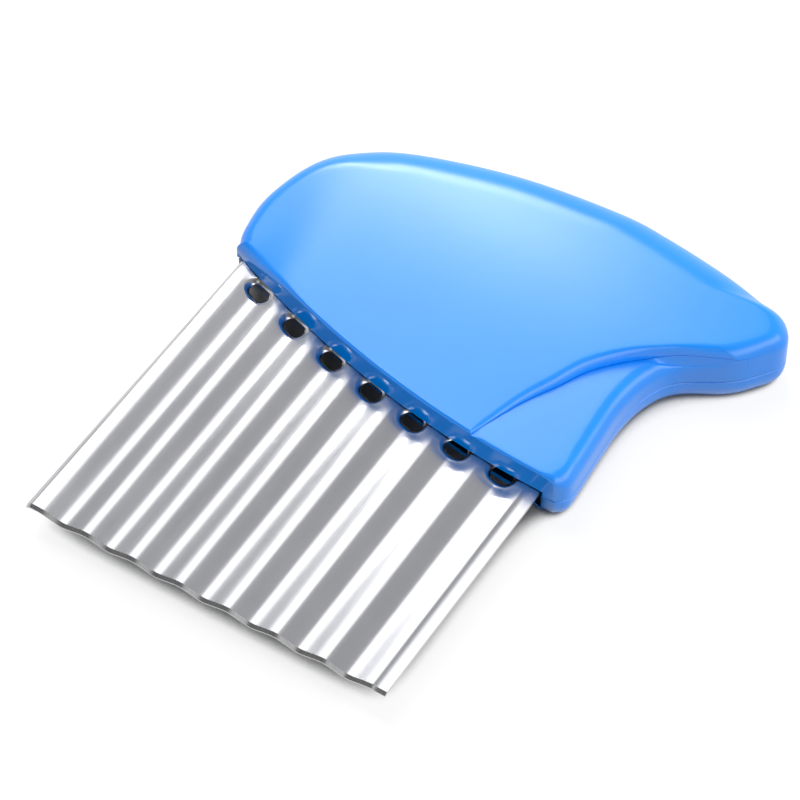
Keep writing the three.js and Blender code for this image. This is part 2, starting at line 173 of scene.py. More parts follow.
# Mesh of the handle, and limits of its loft
OUTLINE_STEP = 0.4
OUTLINE_SMOOTHING = 8
EDGE_SPREAD = 5
TANGENT_SPAN = 2
LEAST_SLANT = 0.4
LEAST_WEB = 0.05
WEB_EDGE_SHARE = 0.7
FACE_RINGS = 26
BACK_RING_STEP = 4
EDGE_RINGS = 14
WEB_RINGS = 8
WALL_RINGS = 3

# Plastic: polished where it faces the blade, satin elsewhere
BLUE = ((0.0, 0.262, 0.96), (0.0, 0.276, 0.98))
# Painted shade: the inside of both shells is coloured near black, so that what shows through the blade's
# holes is dark
INSIDE_PAINTED_SHADE = ((0.0, 0.01, 0.03), (0.0, 0.014, 0.04))
POLISH_FACING = (-0.9, -0.6)
POLISH_TO_SATIN = (0.03, 0.29)
PLASTIC_SPECULAR = 0.75
PLASTIC_CLOUD = 0.05
PLASTIC_GRAIN = 4.0
PLASTIC_BUMP = (0.004, 0.04)

# Steel: brushed along the blade
PRESSED_STEEL = ((0.555, 0.56, 0.59), (0.595, 0.60, 0.63))
PRESSED_ROUGHNESS = (0.17, 0.23)
GROUND_STEEL = ((0.54, 0.54, 0.55), (0.64, 0.64, 0.65))
GROUND_ROUGHNESS = (0.22, 0.3)
STEEL_CLOUD = 0.08
STEEL_BRUSH = (6, 0.05, 1)
STEEL_BUMP = (0.002, 0.1)

# Noise textures: the part of their range that most values lie in, and their detail
NOISE_RANGE = (0.3, 0.7)
NOISE_DETAIL = 3.0

# Studio: walls, ceiling, floor, and where the lights point
WALL_FADE = (0.2, 0.5)
CEILING_FADE = (-0.3, 0.2)
CEILING = (0.16, 0.5)
FLOOR_HALF = 3000
FLOOR_ALBEDO = 0.22
FLOOR_ROUGHNESS = 0.9
FLOOR_GLOW = 0.82
# Painted shadow on the floor: how far ambient occlusion looks, and the range over which it dims the glow
FLOOR_SHADE_REACH = 25
FLOOR_SHADE = (0.25, 0.5)
LIGHT_AIM = (40, 60, 0)
ACROSS = (1, 0, 0)
ALONG = (0, 1, 0)

# Photograph's view of the cutter
CAMERA_AZIMUTH = 32.45
CAMERA_ELEVATION = 52.0
CAMERA_DISTANCE = 767
CAMERA_AIM = (45.66, 59.11, 0)
CAMERA_LENS = 180
CAMERA_SENSOR = 36


def placed(points):
    """Points of the tool's frame in millimetres, as metres in the shared frame."""
    return TOOL_ORIGIN + MM * np.asarray(points, float)


def lip_y(x):
    """Plan of the lip, where the blade goes into the handle: a parabola that is level at its right end."""
    along = (LIP_RIGHT[0] - x) / (LIP_RIGHT[0] - LIP_LEFT[0])
    return LIP_LOW + LIP_RISE * along * along


def smoothstep(value, low, high):
    share = np.clip((value - low) / (high - low), 0, 1)
    return share * share * (3 - 2 * share)


def mix(a, b, share):
    return a + (b - a) * share


def new_piece(name, points, faces, node, materials, second_count):
    """A closed, smooth mesh that rides on the cutter and stands for one of its solids.

    The last faces, as many as second_count says, take the second material.
    """
    mesh = bpy.data.meshes.new(name)
    mesh.from_pydata([tuple(p) for p in placed(points)], [], faces)
    for material in materials:
        mesh.materials.append(material)
    for face in mesh.polygons[len(faces) - second_count:]:
        face.material_index = 1
    piece = bpy.data.objects.new(name, mesh)
    bpy.context.scene.collection.objects.link(piece)
    tidy(mesh)
    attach(piece, "root")
    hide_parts(node)
    return piece


def tidy(mesh, weld=1e-6, sharp=math.radians(38)):
    """Welds points that coincide, turns the faces outwards and keeps only the true edges sharp."""
    work = bmesh.new()
    work.from_mesh(mesh)
    bmesh.ops.remove_doubles(work, verts=work.verts, dist=weld)
    bmesh.ops.dissolve_degenerate(work, edges=work.edges, dist=weld)
    bmesh.ops.recalc_face_normals(work, faces=work.faces)
    work.to_mesh(mesh)
    work.free()
    mesh.shade_smooth()
    mesh.set_sharp_from_angle(angle=sharp)


# Blade: a corrugated sheet with a row of holes

def wave_z(x):
    """Height of the corrugated sheet: straight flanks, rounded crests and flat margins at both ends."""
    x = np.asarray(x, float)
    turn = 2 * math.pi * (x - MARGIN_LEFT) / WAVE_PITCH
    wave = (WAVE_DEPTH / 2) * np.arcsin(WAVE_CRISPNESS * np.cos(turn)) / math.asin(WAVE_CRISPNESS)
    past = np.maximum(MARGIN_LEFT - x, x - (BLADE_WIDTH - MARGIN_RIGHT))
    drop = np.where(x > MARGIN_LEFT, MARGIN_DROP, 0)
    margin = WAVE_DEPTH / 2 - drop * np.clip(past / CREASE, 0, 1)
    return np.where(past > 0, margin, wave)


def sheet_z(x, y):
    """Middle of the sheet: it rises a little and its waves flatten where it enters the handle."""
    lip = lip_y(x)
    entry = smoothstep(y, lip - ENTRY_RUN, lip + ENTRY_RUN / 2)
    hem = HEM_DROP / HEM * (np.hypot(HEM - x, HEM_ROUND) + HEM - x) / 2
    return wave_z(x) * mix(1, ENTRY_WAVE, entry) + ENTRY_RISE * entry - hem


def tapered(plan):
    """The plan with its left margin drawn in towards the handle."""
    share = np.clip(1 - plan[:, 0] / MARGIN_LEFT, 0, 1) * np.clip(plan[:, 1] / LIP_LEFT[1], 0, 1)
    return np.column_stack([plan[:, 0] + LEFT_TAPER * share, plan[:, 1]])


def valleys():
    return [MARGIN_LEFT + WAVE_PITCH * (i + 0.5) for i in range(WAVE_COUNT)]


def hole_centre(x):
    """Middle of the hole in the valley at x, and the slope of the lip that it follows."""
    drop = mix(HOLE_DROP_LEFT, HOLE_DROP_RIGHT, x / BLADE_WIDTH)
    half = HOLE_LENGTH / 2
    slope = math.atan2(lip_y(x + half) - lip_y(x - half), HOLE_LENGTH)
    return np.array([x, lip_y(x) - drop]), slope


def oblong(angle):
    """Distance from a hole's centre to its round-ended rim, in the direction of an angle from its length."""
    radius = HOLE_HEIGHT / 2
    straight = (HOLE_LENGTH - HOLE_HEIGHT) / 2
    c, s = abs(math.cos(angle)), abs(math.sin(angle))
    if s > 0 and radius / s * c <= straight:
        return radius / s
    return straight * c + math.sqrt(radius ** 2 - (straight * s) ** 2)


class Sheet:
    """Plan of the blade: points that neighbouring faces share, and how far the front is sunk at each."""

    def __init__(self):
        self.points = []
        self.sunk = []
        self.index = {}
        self.faces = []

    def point(self, x, y, sunk=0.0):
        key = (round(x, PLAN_DIGITS), round(y, PLAN_DIGITS))
        if key not in self.index:
            self.index[key] = len(self.points)
            self.points.append((x, y))
            self.sunk.append(sunk)
        return self.index[key]

    def strip(self, xs, ys):
        for x0, x1 in zip(xs, xs[1:]):
            for y0, y1 in zip(ys, ys[1:]):
                corners = ((x0, y0), (x1, y0), (x1, y1), (x0, y1))
                self.faces.append([self.point(*c) for c in corners])

    def patch(self, xs, ys, centre, slope):
        """Rings of faces from a rectangle's sides down to the rim of a hole."""
        rim = [(x, ys[0]) for x in xs[:-1]] + [(xs[-1], y) for y in ys[:-1]]
        rim += [(x, ys[-1]) for x in xs[:0:-1]] + [(xs[0], y) for y in ys[:0:-1]]
        rings = [[self.point(*p) for p in rim]]
        for ring in range(1, PATCH_RINGS + 1):
            share = (1 - ring / PATCH_RINGS) ** 2
            rings.append([self.towards_hole(p, centre, slope, share, COUNTERSINK_FLAT) for p in rim])
        for ring in range(1, COUNTERSINK_RINGS + 1):
            tilt = mix(COUNTERSINK_FLAT, COUNTERSINK_STEEP, ring / COUNTERSINK_RINGS)
            rings.append([self.towards_hole(p, centre, slope, 0, tilt) for p in rim])
        count = len(rim)
        for outer, inner in zip(rings, rings[1:]):
            for i in range(count):
                j = (i + 1) % count
                self.faces.append([outer[i], outer[j], inner[j], inner[i]])

    def towards_hole(self, point, centre, slope, share, tilt):
        """A point on the way from the patch's side to the hole, or down the tilt of its countersunk rim."""
        away = np.array(point) - centre
        reach = np.linalg.norm(away)
        edge = oblong(math.atan2(away[1], away[0]) - slope)
        radius = COUNTERSINK_WIDTH / (math.sin(COUNTERSINK_STEEP) - math.sin(COUNTERSINK_FLAT))
        distance = mix(edge + radius * (math.sin(COUNTERSINK_STEEP) - math.sin(tilt)), reach, share)
        spot = centre + away / reach * distance
        return self.point(spot[0], spot[1], radius * (math.cos(COUNTERSINK_FLAT) - math.cos(tilt)))


def blade_plan():
    """Strips of faces over both margins and each wave, with a patch round the hole in each valley."""
    sheet = Sheet()
    rows = [0, BEVEL_HEIGHT / 2, BEVEL_HEIGHT]
    rows += list(np.arange(math.ceil(BEVEL_HEIGHT + ROW_STEP / 2), TANG_TOP + ROW_STEP / 2, ROW_STEP))
    right = BLADE_WIDTH - MARGIN_RIGHT
    hem = list(HEM + HEM_ROUND * np.arange(-HEM_STEPS, HEM_STEPS + 1))
    sheet.strip([0, *hem, MARGIN_LEFT - CREASE, MARGIN_LEFT - CREASE / 2, MARGIN_LEFT], rows)
    sheet.strip([right, right + CREASE / 2, right + CREASE, right + MARGIN_RIGHT / 2, BLADE_WIDTH], rows)
    for x in valleys():
        xs = list(np.linspace(x - WAVE_PITCH / 2, x + WAVE_PITCH / 2, WAVE_STEPS + 1))
        centre, slope = hole_centre(x)
        below = [y for y in rows if y <= centre[1] - HOLE_PATCH]
        above = [y for y in rows if y >= centre[1] + HOLE_PATCH]
        beside = [y for y in rows if below[-1] <= y <= above[0]]
        sheet.strip(xs, below)
        sheet.strip(xs, above)
        sheet.patch(xs, beside, centre, slope)
    return sheet


def make_blade(materials):
    """The sheet's front and back, with the ground edge, the hem and all cut edges in the second material."""
    sheet = blade_plan()
    plan = np.array(sheet.points)
    middle = sheet_z(plan[:, 0], plan[:, 1])
    ground = (SHEET - EDGE_LAND) * np.clip(1 - plan[:, 1] / BEVEL_HEIGHT, 0, 1)
    front = np.column_stack([tapered(plan), middle + SHEET / 2 - ground - np.array(sheet.sunk)])
    back = np.column_stack([tapered(plan), middle - SHEET / 2])
    count = len(plan)
    worked = (plan[:, 1] < BEVEL_SHADE) | (abs(plan[:, 0] - HEM) < HEM_SHADE)
    ground_faces = [f for f in sheet.faces if worked[f].any()]
    faces = [f for f in sheet.faces if not worked[f].any()]
    faces += [[i + count for i in reversed(f)] for f in sheet.faces]
    cut = ground_faces + [[b, a, a + count, b + count] for a, b in open_edges(sheet.faces)]
    points = np.vstack([front, back])
    blade = new_piece("blade_sheet", points, faces + cut, "blade", materials, len(cut))
    blade.data.set_sharp_from_angle(angle=BLADE_SHARP)


def open_edges(faces):
    """Edges that only one face has, in that face's direction."""
    seen = {}
    for face in faces:
        for a, b in zip(face, face[1:] + face[:1]):
            seen.setdefault((min(a, b), max(a, b)), []).append((a, b))
    return [uses[0] for uses in seen.values() if len(uses) == 1]


# Handle: two shells lofted along rays from a hub inside the outline

def spline(points, per_span=40):
    """A smooth curve through points: a uniform Catmull-Rom spline."""
    p = np.vstack([points[0], points, points[-1]])
    t = np.linspace(0, 1, per_span, endpoint=False)[:, None]
    spans = []
    for a, b, c, d in zip(p, p[1:], p[2:], p[3:]):
        v0, v1 = (c - a) / 2, (d - b) / 2
        cubic = 2 * b - 2 * c + v0 + v1
        square = 3 * c - 3 * b - 2 * v0 - v1
        spans.append(cubic * t ** 3 + square * t ** 2 + v0 * t + b)
    return np.vstack(spans + [p[-1:]])


def lengths_along(line):
    """How far along the line each of its points lies."""
    return np.concatenate([[0], np.cumsum(np.linalg.norm(np.diff(line, axis=0), axis=1))])


def spaced(line, step):
    """The line again, with points at even steps along it."""
    length = lengths_along(line)
    marks = np.linspace(0, length[-1], max(2, round(length[-1] / step) + 1))
    return np.column_stack([np.interp(marks, length, line[:, k]) for k in range(2)])


def eased(line, rounds):
    """The line with its ends kept and its small kinks averaged out."""
    line = line.copy()
    for _ in range(rounds):
        line[1:-1] = (line[:-2] + 2 * line[1:-1] + line[2:]) / 4
    return line


def nearest(line, point):
    return np.argmin(np.linalg.norm(line - point, axis=1))


def up_wall(x, share):
    """A point at x, a share of the way up from the lip's right end to the nose."""
    return np.array([x, mix(LIP_LOW, NOSE[1], share)])


def up_left(x, share):
    """A point at x, a share of the way up from the lip's left end to the top."""
    return np.array([x, mix(LIP_LEFT[1], HANDLE_TOP, share)])


def over_top(share, drop):
    """A point at a share of the blade's width, some way below the top."""
    return np.array([BLADE_WIDTH * share, HANDLE_TOP - drop])


def lip_line():
    """Points along the lip, with a close pair at each end of the slot for the blade."""
    slot_ends = [e + k * SLOT_END for e in (-SLOT_SIDE, BLADE_WIDTH + SLOT_SIDE) for k in (-0.5, 0.5)]
    even = np.arange(LIP_LEFT[0], LIP_RIGHT[0], OUTLINE_STEP)
    clear = [x for x in even if min(abs(x - e) for e in slot_ends) > OUTLINE_STEP / 4]
    lip_x = np.sort(np.concatenate([clear, slot_ends]))
    return np.column_stack([lip_x, lip_y(lip_x)])


def outline_points():
    """Points that the outline runs through after the lip, up the right wall and back down the left side."""
    side = LIP_RIGHT[0] + CORNER
    wall = [
        LIP_RIGHT,
        (side, LIP_LOW + CORNER),
        up_wall(side, 0.125),
        up_wall(side - 0.6, 0.285),
        up_wall(side - 1, 0.45),
        up_wall(side + 0.2, 0.6),
        up_wall(side + 3.5, 0.71),
        up_wall(NOSE[0] - 6.4, 0.82),
        up_wall(NOSE[0] - 2.4, 0.91),
    ]
    tip = [
        NOSE,
        (NOSE[0] - 2.9, mix(NOSE[1], HANDLE_TOP, 0.405)),
        (NOSE[0] - 8.1, mix(NOSE[1], HANDLE_TOP, 0.585)),
    ]
    top = [
        over_top(1.075, 2.6),
        over_top(0.89, 0.5),
        over_top(0.75, 0),
        over_top(0.49, 2.3),
        over_top(0.245, 7.6),
        up_left(8.5, 0.72),
    ]
    left = [
        up_left(1.5, 0.563),
        up_left(-LEFT_BULGE, 0.292),
        up_left(-0.75 * LEFT_BULGE, 0.096),
        up_left(LIP_LEFT[0] - 0.3, 0.017),
        LIP_LEFT,
    ]
    return wall, tip, top, left


def outline():
    """The handle's outline, counter-clockwise from the left end of the lip, and the edges along it."""
    lip = lip_line()
    wall, tip, top, left = outline_points()
    chain = eased(spaced(spline(np.array(wall + tip + top + left)), OUTLINE_STEP), OUTLINE_SMOOTHING)[:-1]
    line = np.vstack([lip, chain])
    nose_at = len(lip) + nearest(chain, wall[-1])
    top_at = len(lip) + nearest(chain, tip[-1])
    on_lip = np.arange(len(line)) < len(lip)
    front, crisp = front_edges(line, len(lip), nose_at, top_at)
    web = np.where(on_lip, LIP_EDGE, WEB_EDGE)
    rear = np.where(on_lip & (line[:, 0] < BLADE_WIDTH), LIP_EDGE, REAR_RIM_IN)
    in_slot = on_lip & (line[:, 0] > -SLOT_SIDE) & (line[:, 0] < BLADE_WIDTH + SLOT_SIDE)
    return line, averaged(front), averaged(crisp), averaged(web), averaged(rear), in_slot


def front_edges(line, lip_end, nose_at, top_at):
    """Width of the front face's rounded edge at each point of the outline, and how crisp its foot is."""
    along = lengths_along(line)
    ridge_start = along[lip_end] + CORNER
    ridge_end = along[nose_at] + RIDGE_PAST_NOSE
    crisp = [(along[lip_end], 0), (ridge_start, 1), (ridge_end - RIDGE_FADE, 1), (ridge_end, 0)]
    widths = [
        (0, LIP_EDGE_LEFT),
        (LIP_EDGE_RUN, LIP_EDGE),
        (along[lip_end], LIP_EDGE),
        (ridge_start, RIDGE_EDGE),
        (ridge_end - RIDGE_FADE, RIDGE_EDGE),
        (ridge_end, NOSE_FOOT),
        (ridge_end + NOSE_RUN, NOSE_EDGE),
        (along[top_at], RIM_EDGE),
        (along[-1] - SIDE_EDGE_RUN, RIM_EDGE),
        (along[-1], LIP_EDGE_LEFT),
    ]
    return np.interp(along, *zip(*widths)), np.interp(along, *zip(*crisp))


def averaged(values):
    """Each value averaged over its neighbours round the outline."""
    reach = round(EDGE_SPREAD / OUTLINE_STEP)
    weights = np.hanning(2 * reach + 3)[1:-1]
    wrapped = np.concatenate([values[-reach:], values, values[:reach]])
    return np.convolve(wrapped, weights / weights.sum(), "valid")


def ridge_line():
    """The ridge that parts the dome from the lower web, from the lip to the underside of the beak."""
    start = BLADE_WIDTH - RIDGE_FROM_RIGHT
    side = LIP_RIGHT[0] + CORNER
    return spline(np.array([
        (start - 1, lip_y(start - 1) - 1),
        (start, lip_y(start)),
        up_wall(side - 17, 0.231),
        up_wall(side - 13.4, 0.368),
        up_wall(side - 9.8, 0.505),
        up_wall(side - 4, 0.632),
        up_wall(side + 2.6, 0.729),
        up_wall(NOSE[0] - 6.4, 0.824),
    ]))


def reach_to(line, rays):
    """How far each ray from the hub runs to a line, or infinity where it misses."""
    a = line[:-1] - HUB
    step = np.diff(line, axis=0)
    turn = rays[:, :1] * step[:, 1] - rays[:, 1:] * step[:, 0]
    along = (rays[:, 1:] * a[:, 0] - rays[:, :1] * a[:, 1]) / turn
    reach = (a[:, 0] * step[:, 1] - a[:, 1] * step[:, 0]) / turn
    reach[(along < 0) | (along > 1) | (reach < 0)] = np.inf
    return reach.min(axis=1)


def dome_z(x, y):
    """Depth of the front face over the plan: a broad dome, low along the lip and lowest at its left end."""
    lip = mix(LIP_DEPTH_LEFT, LIP_DEPTH_RIGHT, np.clip(x / BLADE_WIDTH, 0, 1))
    lip = lip - LIP_DIP * smoothstep(LIP_DIP_RUN - x, 0, LIP_DIP_RUN)
    rise = np.clip((y - lip_y(np.minimum(x, LIP_RIGHT[0]))) / DOME_RUN, 0, 1)
    crown = CROWN * ((x - CROWN_MIDDLE) / CROWN_REACH) ** 2
    return mix(lip, DOME_DEPTH, np.sin(rise * math.pi / 2)) - crown * rise


class Rays:
    """Rays from the hub to the outline, with what each crosses on its way."""

    def __init__(self):
        line, self.front, self.crisp, self.web, self.rear, self.in_slot = outline()
        away = line - HUB
        self.reach = np.linalg.norm(away, axis=1)
        self.ray = away / self.reach[:, None]
        tangent = np.roll(line, -TANGENT_SPAN, axis=0) - np.roll(line, TANGENT_SPAN, axis=0)
        normal = np.column_stack([tangent[:, 1], -tangent[:, 0]])
        normal /= np.linalg.norm(normal, axis=1)[:, None]
        self.slant = averaged(np.maximum(LEAST_SLANT, (self.ray * normal).sum(axis=1)))
        found = reach_to(ridge_line(), self.ray)
        self.ridge = np.where(self.reach - found < LEAST_WEB, self.reach, np.minimum(found, self.reach))

    def spots(self, reach, z):
        """One point on each ray, at a reach from the hub and a height."""
        plan = HUB + self.ray * np.asarray(reach)[:, None]
        return np.column_stack([plan, np.broadcast_to(z, len(plan))])

    def on_dome(self, reach, below=0):
        """One point on each ray, on the dome of the front face or some way below it."""
        ring = self.spots(reach, 0)
        ring[:, 2] = dome_z(ring[:, 0], ring[:, 1]) - below
        return ring


def quarter(count, start=0):
    """Steps round a quarter circle: how far inwards and how far below its top, from its foot to its top.

    A start above 0 leaves out the steep part at its foot.
    """
    for step in range(count + 1):
        turn = mix(start, math.pi / 2, step / count)
        yield 1 - np.cos(turn) / np.cos(start), (1 - np.sin(turn)) / (1 - np.sin(start))


def front_profile(rays):
    """Widths and heights of the front shell's edges on each ray.

    Where a ray crosses the web, its edge is the step down from the ridge, and the web has an edge of its own.
    """
    web = rays.reach - rays.ridge
    share = smoothstep(web, 0, WEB_BLEND)
    foot = rays.on_dome(rays.ridge)
    top = foot[:, 2]
    low = WEB_DEPTH - WEB_FALL * smoothstep(foot[:, 1], LIP_LOW, NOSE[1])
    drop = np.maximum(top - low, LEAST_STEP)
    crisp = rays.crisp * (1 - share)
    edge_up = np.minimum(mix(rays.front + RIDGE_UP * crisp, drop, share), top - SEAM_HALF - PLAIN_WALL)
    spread = mix(1, RIM_SPREAD, smoothstep(rays.front, NOSE_EDGE, RIM_EDGE))
    edge_in = mix((rays.front * spread + RIDGE_IN * crisp) / rays.slant, STEP_RUN + STEP_SLOPE * drop, share)
    shoulder = top - edge_up
    ledge = shoulder - CREVICE * crisp
    return SimpleNamespace(
        share=share,
        crisp=crisp,
        crevice=CREVICE * np.maximum(crisp, share),
        edge_up=edge_up,
        edge_in=edge_in,
        web_in=np.minimum(rays.web / rays.slant, WEB_EDGE_SHARE * web) * share,
        web_up=np.minimum(rays.web, shoulder - SEAM_HALF - PLAIN_WALL) * share,
        ledge=ledge,
        curb=ledge - BRACE * web * crisp,
    )


def front_rings(rays):
    """Rings of the front shell's outside, from the parting face up to the hub."""
    outer, inner = rays.reach, rays.ridge
    edge = front_profile(rays)
    base = np.where(rays.in_slot, SLOT_TOP, SEAM_HALF)
    web_start = outer - edge.web_in
    web_end = np.minimum(inner + edge.crevice / 2, web_start)
    crevice_end = inner - edge.crevice * mix(CREVICE_UNDER_RIDGE, CREVICE_UNDER_STEP, edge.share)
    rings = [rays.spots(outer - SEAM_ROUND / rays.slant, base), rays.spots(outer, base + SEAM_ROUND)]
    for step in range(1, WALL_RINGS):
        rings.append(rays.spots(outer, mix(base + SEAM_ROUND, edge.curb - edge.web_up, step / WALL_RINGS)))
    for inwards, below in quarter(EDGE_RINGS):
        rings.append(rays.spots(outer - edge.web_in * inwards, edge.curb - edge.web_up * below))
    for step in range(1, WEB_RINGS + 1):
        along = step / WEB_RINGS
        rings.append(rays.spots(mix(web_start, web_end, along), mix(edge.curb, edge.ledge, along)))
    rings.append(rays.spots(crevice_end, edge.ledge - CREVICE_DEPTH * edge.crevice * edge.share))
    for inwards, below in quarter(EDGE_RINGS, RIDGE_START * edge.crisp):
        rings.append(rays.on_dome(inner - edge.edge_in * inwards, edge.edge_up * below))
    for step in range(1, FACE_RINGS):
        rings.append(rays.on_dome((inner - edge.edge_in) * (1 - step / FACE_RINGS)))
    return rings


def rear_rings(rays):
    """Rings of the rear shell's outside, from the parting face down to the flat back."""
    base = -np.where(rays.in_slot, REAR_SLOT, SEAM_HALF)
    reach = rays.reach - REAR_SETBACK * averaged(rays.in_slot) ** SETBACK_SHARPNESS
    share = (rays.rear - LIP_EDGE) / (REAR_RIM_IN - LIP_EDGE)
    up = np.minimum(mix(LIP_EDGE, REAR_RIM_UP, share), REAR_DEPTH + base - SEAM_ROUND)
    rings = [rays.spots(reach - SEAM_ROUND / rays.slant, base), rays.spots(reach, base - SEAM_ROUND)]
    for step in range(1, WALL_RINGS):
        rings.append(rays.spots(reach, mix(base - SEAM_ROUND, up - REAR_DEPTH, step / WALL_RINGS)))
    for inwards, below in quarter(EDGE_RINGS):
        rings.append(rays.spots(reach - rays.rear / rays.slant * inwards, up * below - REAR_DEPTH))
    for step in range(1, FACE_RINGS, BACK_RING_STEP):
        rings.append(rays.spots((reach - rays.rear / rays.slant) * (1 - step / FACE_RINGS), -REAR_DEPTH))
    return rings


def hollow_rings(rays, rings, inwards):
    """Rings of a shell's inside, a wall's thickness in, from the hub out to the parting face."""
    room = rays.reach - (WALL + REAR_SETBACK) / rays.slant
    face = rings[-1][:, 2].mean() - inwards * WALL
    deep = inwards * (SLOT_TOP + PLAIN_WALL)
    return [
        rays.spots(HOLLOW_MIDDLE * room, face),
        rays.spots(HOLLOW_FACE * np.minimum(room, rays.ridge - WALL), face),
        rays.spots(room, deep),
        rays.spots(room, rings[0][:, 2]),
    ]


def make_shell(name, rings, inside, node, materials):
    """A shell from the rings of its outside and then of its inside."""
    count = len(rings[0])
    loops = [range(i * count, (i + 1) * count) for i in range(len(rings) + len(inside))]
    outer, inner = loops[:len(rings)], loops[len(rings):] + loops[:1]
    outside = [face for pair in zip(outer, outer[1:]) for face in quads(*pair)] + [list(outer[-1])]
    hollow = [face for pair in zip(inner, inner[1:]) for face in quads(*pair)] + [list(inner[0])]
    points = np.vstack(rings + inside)
    new_piece(name, points, outside + hollow, node, materials, len(hollow))


def quads(lower, upper):
    count = len(lower)
    return [[lower[i], lower[(i + 1) % count], upper[(i + 1) % count], upper[i]] for i in range(count)]


def make_handle(materials):
    rays = Rays()
    front = front_rings(rays)
    rear = rear_rings(rays)
    make_shell("front_cover", front, hollow_rings(rays, front, 1), "front_shell", materials)
    make_shell("rear_cover", rear, hollow_rings(rays, rear, -1), "rear_shell", materials)


# Shader nodes

def node_material(name):
    material = bpy.data.materials.new(name)
    material.use_nodes = True
    return material, material.node_tree, material.node_tree.nodes["Principled BSDF"]


def textured(tree, scale, stretch=(1, 1, 1)):
    """A noise texture over the cutter in millimetres, stretched along each axis."""
    place = tree.nodes.new("ShaderNodeTexCoord")
    mapping = tree.nodes.new("ShaderNodeMapping")
    mapping.inputs["Scale"].default_value = [scale * s / MM for s in stretch]
    noise = tree.nodes.new("ShaderNodeTexNoise")
    noise.inputs["Scale"].default_value = 1.0
    noise.inputs["Detail"].default_value = NOISE_DETAIL
    tree.links.new(place.outputs["Object"], mapping.inputs["Vector"])
    tree.links.new(mapping.outputs["Vector"], noise.inputs["Vector"])
    return noise.outputs["Fac"]


def axes_of(tree, kind):
    """The X, Y and Z of one kind of texture coordinate."""
    place = tree.nodes.new("ShaderNodeTexCoord")
    split = tree.nodes.new("ShaderNodeSeparateXYZ")
    tree.links.new(place.outputs[kind], split.inputs["Vector"])
    return split.outputs


def map_range(tree, value, source, target, curve="SMOOTHSTEP"):
    """A value from a source range, spread over a target range."""
    spread = tree.nodes.new("ShaderNodeMapRange")
    spread.interpolation_type = curve
    for name, number in zip(("From Min", "From Max", "To Min", "To Max"), (*source, *target)):
        spread.inputs[name].default_value = number
    tree.links.new(value, spread.inputs["Value"])
    return spread.outputs["Result"]


def combined(tree, operation, first, second):
    """Two values put together by a math node."""
    node = tree.nodes.new("ShaderNodeMath")
    node.operation = operation
    tree.links.new(first, node.inputs[0])
    tree.links.new(second, node.inputs[1])
    return node.outputs["Value"]


def between(tree, value, colours):
    """A noise value as a colour between two colours."""
    ramp = tree.nodes.new("ShaderNodeValToRGB")
    for element, position, colour in zip(ramp.color_ramp.elements, NOISE_RANGE, colours):
        element.position = position
        element.color = (*colour, 1)
    tree.links.new(value, ramp.inputs["Fac"])
    return ramp.outputs["Color"]


def bumped(tree, value, shader, distance, strength):
    bump = tree.nodes.new("ShaderNodeBump")
    bump.inputs["Distance"].default_value = distance * MM
    bump.inputs["Strength"].default_value = strength
    tree.links.new(value, bump.inputs["Height"])
    tree.links.new(bump.outputs["Normal"], shader.inputs["Normal"])


# Materials

def plastic_material(name, colours):
    material, tree, shader = node_material(name)
    cloud = textured(tree, PLASTIC_CLOUD)
    grain = textured(tree, PLASTIC_GRAIN)
    finish = map_range(tree, axes_of(tree, "Normal")["Y"], POLISH_FACING, POLISH_TO_SATIN)
    tree.links.new(between(tree, cloud, colours), shader.inputs["Base Color"])
    tree.links.new(finish, shader.inputs["Roughness"])
    bumped(tree, grain, shader, *PLASTIC_BUMP)
    shader.inputs["Specular IOR Level"].default_value = PLASTIC_SPECULAR
    return material


def steel_material(name, colours, roughness):
    material, tree, shader = node_material(name)
    cloud = textured(tree, STEEL_CLOUD)
    brush = textured(tree, 1.0, STEEL_BRUSH)
    finish = map_range(tree, brush, NOISE_RANGE, roughness, "LINEAR")
    tree.links.new(between(tree, cloud, colours), shader.inputs["Base Color"])
    tree.links.new(finish, shader.inputs["Roughness"])
    bumped(tree, brush, shader, *STEEL_BUMP)
    shader.inputs["Metallic"].default_value = 1.0
    return material


# Studio

def direction(azimuth, elevation):
    """Unit vector from the cutter: azimuth 0 is towards -Y and 90 towards +X."""
    a, e = math.radians(azimuth), math.radians(elevation)
    return Vector((math.sin(a) * math.cos(e), -math.cos(a) * math.cos(e), math.sin(e)))


def slanted(across, along):
    """Direction tilted from straight up: across the cutter about Y, then towards +Y, in degrees."""
    a, b = math.radians(across), math.radians(along)
    return Vector((math.sin(a) * math.cos(b), math.sin(b), math.cos(a) * math.cos(b)))


def make_camera():
    data = bpy.data.cameras.new("camera")
    data.lens = CAMERA_LENS
    data.sensor_width = CAMERA_SENSOR
    camera = bpy.data.objects.new("camera", data)
    aim = Vector(placed(CAMERA_AIM))
    back = direction(CAMERA_AZIMUTH, CAMERA_ELEVATION)
    camera.location = aim + back * CAMERA_DISTANCE * MM
    camera.rotation_euler = (-back).to_track_quat("-Z", "Y").to_euler()
    bpy.context.scene.collection.objects.link(camera)
    bpy.context.scene.camera = camera


def softbox(name, towards, distance, size, along, radiance):
    """A soft rectangular light that faces the cutter, with its first side along a given line.

    Its distance and size are in metres.
    """
    data = bpy.data.lights.new(name, "AREA")
    data.shape = "RECTANGLE"
    data.size, data.size_y = size
    data.energy = radiance * math.pi * size[0] * size[1]
    lamp = bpy.data.objects.new(name, data)
    back = Vector(towards).normalized()
    side = (Vector(along) - back * back.dot(Vector(along))).normalized()
    lamp.matrix_world = Matrix((side, back.cross(side), back)).transposed().to_4x4()
    lamp.location = Vector(placed(LIGHT_AIM)) + back * distance
    bpy.context.scene.collection.objects.link(lamp)


def seen_directly(tree):
    """1 for the camera and for what shows in shiny or clear surfaces, 0 for scattered light."""
    path = tree.nodes.new("ShaderNodeLightPath")
    total = path.outputs["Is Camera Ray"]
    for name in ("Is Glossy Ray", "Is Transmission Ray"):
        total = combined(tree, "MAXIMUM", total, path.outputs[name])
    return total


